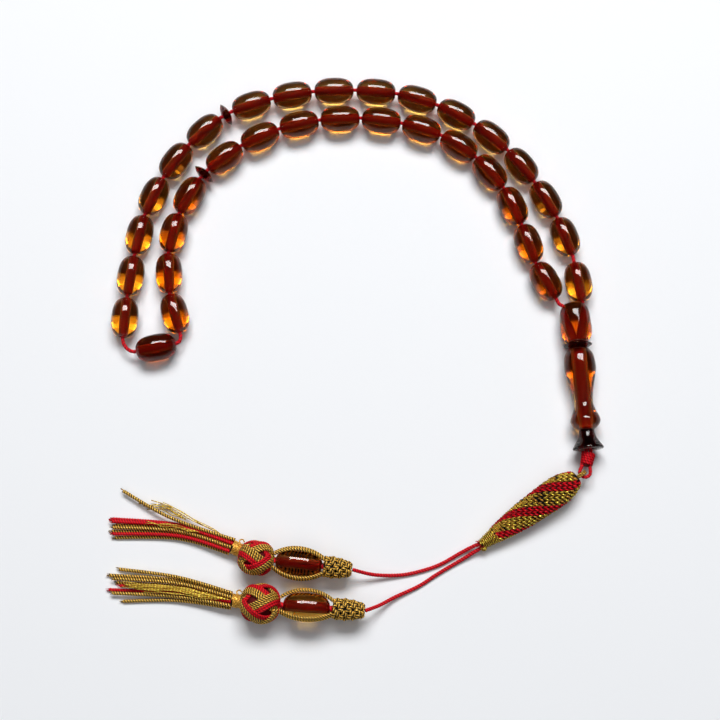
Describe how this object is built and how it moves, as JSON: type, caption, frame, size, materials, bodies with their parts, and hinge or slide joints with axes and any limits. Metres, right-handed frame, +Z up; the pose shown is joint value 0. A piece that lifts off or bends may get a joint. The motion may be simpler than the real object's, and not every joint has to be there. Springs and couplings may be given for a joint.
{
  "type": "misbaha prayer beads",
  "caption": "Strand of oval translucent prayer beads on a string with divider discs, turned head piece, woven sleeve and tasselled pendants.",
  "frame": {"origin": "on the surface the beads lie on, under the middle of the laid-out outline", "axes": "+Z up from the surface; +Y from the pendants towards the top of the bead arc, the longest extent; +X from the far end of the strand towards the head piece"},
  "size_m": [0.1406, 0.161, 0.0121],
  "materials": {
    "amber": "polished translucent amber resin",
    "dark_amber": "polished dark cherry resin",
    "red_thread": "twisted silky cord",
    "knot_thread": "red and gold cords knotted together",
    "gold_thread": "metallic gold thread twisted with black"
  },
  "bodies": {
    "strand": {"string": "red_thread", "collector": "amber", "stopper_knot": "red_thread"},
    "bead_01": {"bead_01": "amber"},
    "bead_02": {"bead_02": "amber"},
    "bead_03": {"bead_03": "amber"},
    "bead_04": {"bead_04": "amber"},
    "bead_05": {"bead_05": "amber"},
    "bead_06": {"bead_06": "amber"},
    "bead_07": {"bead_07": "amber"},
    "bead_08": {"bead_08": "amber"},
    "bead_09": {"bead_09": "amber"},
    "bead_10": {"bead_10": "amber"},
    "bead_11": {"bead_11": "amber"},
    "bead_12": {"bead_12": "amber"},
    "bead_13": {"bead_13": "amber"},
    "bead_14": {"bead_14": "amber"},
    "bead_15": {"bead_15": "amber"},
    "bead_16": {"bead_16": "amber"},
    "bead_17": {"bead_17": "amber"},
    "bead_18": {"bead_18": "amber"},
    "bead_19": {"bead_19": "amber"},
    "bead_20": {"bead_20": "amber"},
    "bead_21": {"bead_21": "amber"},
    "bead_22": {"bead_22": "amber"},
    "bead_23": {"bead_23": "amber"},
    "bead_24": {"bead_24": "amber"},
    "bead_25": {"bead_25": "amber"},
    "bead_26": {"bead_26": "amber"},
    "bead_27": {"bead_27": "amber"},
    "bead_28": {"bead_28": "amber"},
    "bead_29": {"bead_29": "amber"},
    "bead_30": {"bead_30": "amber"},
    "bead_31": {"bead_31": "amber"},
    "bead_32": {"bead_32": "amber"},
    "bead_33": {"bead_33": "amber"},
    "marker_1": {"marker_1": "dark_amber"},
    "marker_2": {"marker_2": "dark_amber"},
    "imame_disc": {"imame_disc": "dark_amber"},
    "imame_body": {"imame_body": "amber"},
    "imame_cap": {"imame_cap": "dark_amber"},
    "sleeve": {"sleeve_bail": "gold_thread", "sleeve_weave": "gold_thread", "sleeve_whipping": "gold_thread"},
    "pendant_a": {"pendant_cord_a": "red_thread", "pendant_cap_a": "gold_thread", "pendant_core_a": "red_thread", "bead_cage_a": "gold_thread", "pendant_knot_a": "knot_thread", "tassel_whipping_a": "gold_thread", "tassel_strands_a": "gold_thread"},
    "pendant_bead_a": {"pendant_bead_a": "amber"},
    "pendant_b": {"pendant_cord_b": "red_thread", "pendant_cap_b": "gold_thread", "pendant_core_b": "red_thread", "bead_cage_b": "gold_thread", "pendant_knot_b": "knot_thread", "tassel_whipping_b": "gold_thread", "tassel_strands_b": "gold_thread"},
    "pendant_bead_b": {"pendant_bead_b": "amber"}
  },
  "joints": [
    {"name": "bead_01_spin", "type": "hinge", "parent": "strand", "child": "bead_01", "pos_m": [0.06431, 0.01818, 0.00385], "axis": [-0.1736, 0.9848, 0], "continuous": true},
    {"name": "bead_02_spin", "type": "hinge", "parent": "strand", "child": "bead_02", "pos_m": [0.0608, 0.03183, 0.00385], "axis": [-0.342, 0.9397, 0], "continuous": true},
    {"name": "bead_03_spin", "type": "hinge", "parent": "strand", "child": "bead_03", "pos_m": [0.05551, 0.04316, 0.00385], "axis": [-0.5, 0.866, 0], "continuous": true},
    {"name": "bead_04_spin", "type": "hinge", "parent": "strand", "child": "bead_04", "pos_m": [0.04851, 0.05354, 0.00385], "axis": [-0.6157, 0.788, 0], "continuous": true},
    {"name": "bead_05_spin", "type": "hinge", "parent": "strand", "child": "bead_05", "pos_m": [0.03986, 0.06254, 0.00385], "axis": [-0.7632, 0.6461, 0], "continuous": true},
    {"name": "bead_06_spin", "type": "hinge", "parent": "strand", "child": "bead_06", "pos_m": [0.02956, 0.06959, 0.00385], "axis": [-0.8788, 0.4772, 0], "continuous": true},
    {"name": "bead_07_spin", "type": "hinge", "parent": "strand", "child": "bead_07", "pos_m": [0.01803, 0.07439, 0.00385], "axis": [-0.9576, 0.2882, 0], "continuous": true},
    {"name": "bead_08_spin", "type": "hinge", "parent": "strand", "child": "bead_08", "pos_m": [0.00577, 0.07675, 0.00385], "axis": [-0.9962, 0.0872, 0], "continuous": true},
    {"name": "bead_09_spin", "type": "hinge", "parent": "strand", "child": "bead_09", "pos_m": [-0.00675, 0.07708, 0.00385], "axis": [-0.9994, -0.0349, 0], "continuous": true},
    {"name": "bead_10_spin", "type": "hinge", "parent": "strand", "child": "bead_10", "pos_m": [-0.01919, 0.07571, 0.00385], "axis": [-0.9833, -0.1822, 0], "continuous": true},
    {"name": "bead_11_spin", "type": "hinge", "parent": "strand", "child": "bead_11", "pos_m": [-0.03129, 0.07253, 0.00385], "axis": [-0.9455, -0.3256, 0], "continuous": true},
    {"name": "bead_12_spin", "type": "hinge", "parent": "strand", "child": "bead_12", "pos_m": [-0.04499, 0.06438, 0.00385], "axis": [-0.7373, -0.6756, 0], "continuous": true},
    {"name": "bead_13_spin", "type": "hinge", "parent": "strand", "child": "bead_13", "pos_m": [-0.05328, 0.05505, 0.00385], "axis": [-0.5842, -0.8116, 0], "continuous": true},
    {"name": "bead_14_spin", "type": "hinge", "parent": "strand", "child": "bead_14", "pos_m": [-0.0595, 0.04422, 0.00385], "axis": [-0.4067, -0.9135, 0], "continuous": true},
    {"name": "bead_15_spin", "type": "hinge", "parent": "strand", "child": "bead_15", "pos_m": [-0.06336, 0.03235, 0.00385], "axis": [-0.2079, -0.9781, 0], "continuous": true},
    {"name": "bead_16_spin", "type": "hinge", "parent": "strand", "child": "bead_16", "pos_m": [-0.06554, 0.02, 0.00385], "axis": [-0.1392, -0.9903, 0], "continuous": true},
    {"name": "bead_17_spin", "type": "hinge", "parent": "strand", "child": "bead_17", "pos_m": [-0.06685, 0.00752, 0.00385], "axis": [-0.0698, -0.9976, 0], "continuous": true},
    {"name": "bead_18_slide", "type": "slide", "parent": "strand", "child": "bead_18", "axis": [0.9781, 0.2079, 0], "range_m": [-0.001, 0.0005]},
    {"name": "bead_19_spin", "type": "hinge", "parent": "strand", "child": "bead_19", "pos_m": [-0.05247, 0.00877, 0.00385], "axis": [0.2756, -0.9613, 0], "continuous": true},
    {"name": "bead_20_spin", "type": "hinge", "parent": "strand", "child": "bead_20", "pos_m": [-0.05449, 0.02082, 0.00385], "axis": [0.0523, -0.9986, 0], "continuous": true},
    {"name": "bead_21_spin", "type": "hinge", "parent": "strand", "child": "bead_21", "pos_m": [-0.05343, 0.03296, 0.00385], "axis": [-0.225, -0.9744, 0], "continuous": true},
    {"name": "bead_22_spin", "type": "hinge", "parent": "strand", "child": "bead_22", "pos_m": [-0.04906, 0.04433, 0.00385], "axis": [-0.4848, -0.8746, 0], "continuous": true},
    {"name": "bead_23_spin", "type": "hinge", "parent": "strand", "child": "bead_23", "pos_m": [-0.03903, 0.05607, 0.00385], "axis": [-0.7916, -0.6111, 0], "continuous": true},
    {"name": "bead_24_spin", "type": "hinge", "parent": "strand", "child": "bead_24", "pos_m": [-0.0286, 0.06246, 0.00385], "axis": [-0.9038, -0.4279, 0], "continuous": true},
    {"name": "bead_25_spin", "type": "hinge", "parent": "strand", "child": "bead_25", "pos_m": [-0.01705, 0.06648, 0.00385], "axis": [-0.9744, -0.225, 0], "continuous": true},
    {"name": "bead_26_spin", "type": "hinge", "parent": "strand", "child": "bead_26", "pos_m": [-0.00492, 0.06818, 0.00385], "axis": [-0.9986, -0.0523, 0], "continuous": true},
    {"name": "bead_27_spin", "type": "hinge", "parent": "strand", "child": "bead_27", "pos_m": [0.00732, 0.0677, 0.00385], "axis": [-0.9914, 0.1305, 0], "continuous": true},
    {"name": "bead_28_spin", "type": "hinge", "parent": "strand", "child": "bead_28", "pos_m": [0.01927, 0.065, 0.00385], "axis": [-0.9511, 0.309, 0], "continuous": true},
    {"name": "bead_29_spin", "type": "hinge", "parent": "strand", "child": "bead_29", "pos_m": [0.03022, 0.05966, 0.00385], "axis": [-0.829, 0.5592, 0], "continuous": true},
    {"name": "bead_30_spin", "type": "hinge", "parent": "strand", "child": "bead_30", "pos_m": [0.03927, 0.05151, 0.00385], "axis": [-0.6428, 0.766, 0], "continuous": true},
    {"name": "bead_31_spin", "type": "hinge", "parent": "strand", "child": "bead_31", "pos_m": [0.04572, 0.04118, 0.00385], "axis": [-0.4067, 0.9135, 0], "continuous": true},
    {"name": "bead_32_spin", "type": "hinge", "parent": "strand", "child": "bead_32", "pos_m": [0.05013, 0.02971, 0.00385], "axis": [-0.309, 0.9511, 0], "continuous": true},
    {"name": "bead_33_slide", "type": "slide", "parent": "strand", "child": "bead_33", "axis": [-0.4695, 0.8829, 0], "range_m": [-0.002, 0]},
    {"name": "marker_1_spin", "type": "hinge", "parent": "strand", "child": "marker_1", "pos_m": [-0.0388, 0.06955, 0.00385], "axis": [-0.8594, -0.5113, 0], "continuous": true},
    {"name": "marker_2_spin", "type": "hinge", "parent": "strand", "child": "marker_2", "pos_m": [-0.04499, 0.05101, 0.00385], "axis": [-0.6428, -0.766, 0], "continuous": true},
    {"name": "imame_disc_spin", "type": "hinge", "parent": "strand", "child": "imame_disc", "pos_m": [0.06347, -0.00077, 0.0045], "axis": [0.0698, -0.9976, 0], "continuous": true},
    {"name": "imame_body_spin", "type": "hinge", "parent": "strand", "child": "imame_body", "pos_m": [0.06434, -0.01324, 0.0045], "axis": [0.0698, -0.9976, 0], "continuous": true},
    {"name": "imame_cap_spin", "type": "hinge", "parent": "strand", "child": "imame_cap", "pos_m": [0.06539, -0.0282, 0.0045], "axis": [0.0698, -0.9976, 0], "continuous": true},
    {"name": "sleeve_swing", "type": "hinge", "parent": "strand", "child": "sleeve", "pos_m": [0.0644, -0.0374, 0.0048], "axis": [0, 0, 1], "range_deg": [-5, 40]},
    {"name": "pendant_a_swing", "type": "hinge", "parent": "sleeve", "child": "pendant_a", "pos_m": [0.03483, -0.05772, 0.002], "axis": [0, 0, 1], "range_deg": [-10, 0]},
    {"name": "pendant_bead_a_spin", "type": "hinge", "parent": "pendant_a", "child": "pendant_bead_a", "pos_m": [-0.01599, -0.06298, 0.00535], "axis": [-0.9925, 0.1219, 0], "continuous": true},
    {"name": "pendant_b_swing", "type": "hinge", "parent": "sleeve", "child": "pendant_b", "pos_m": [0.03483, -0.05772, 0.002], "axis": [0, 0, 1], "range_deg": [0, 35]},
    {"name": "pendant_bead_b_spin", "type": "hinge", "parent": "pendant_b", "child": "pendant_bead_b", "pos_m": [-0.01376, -0.07497, 0.00605], "axis": [-0.9976, 0.0698, 0], "continuous": true}
  ]
}
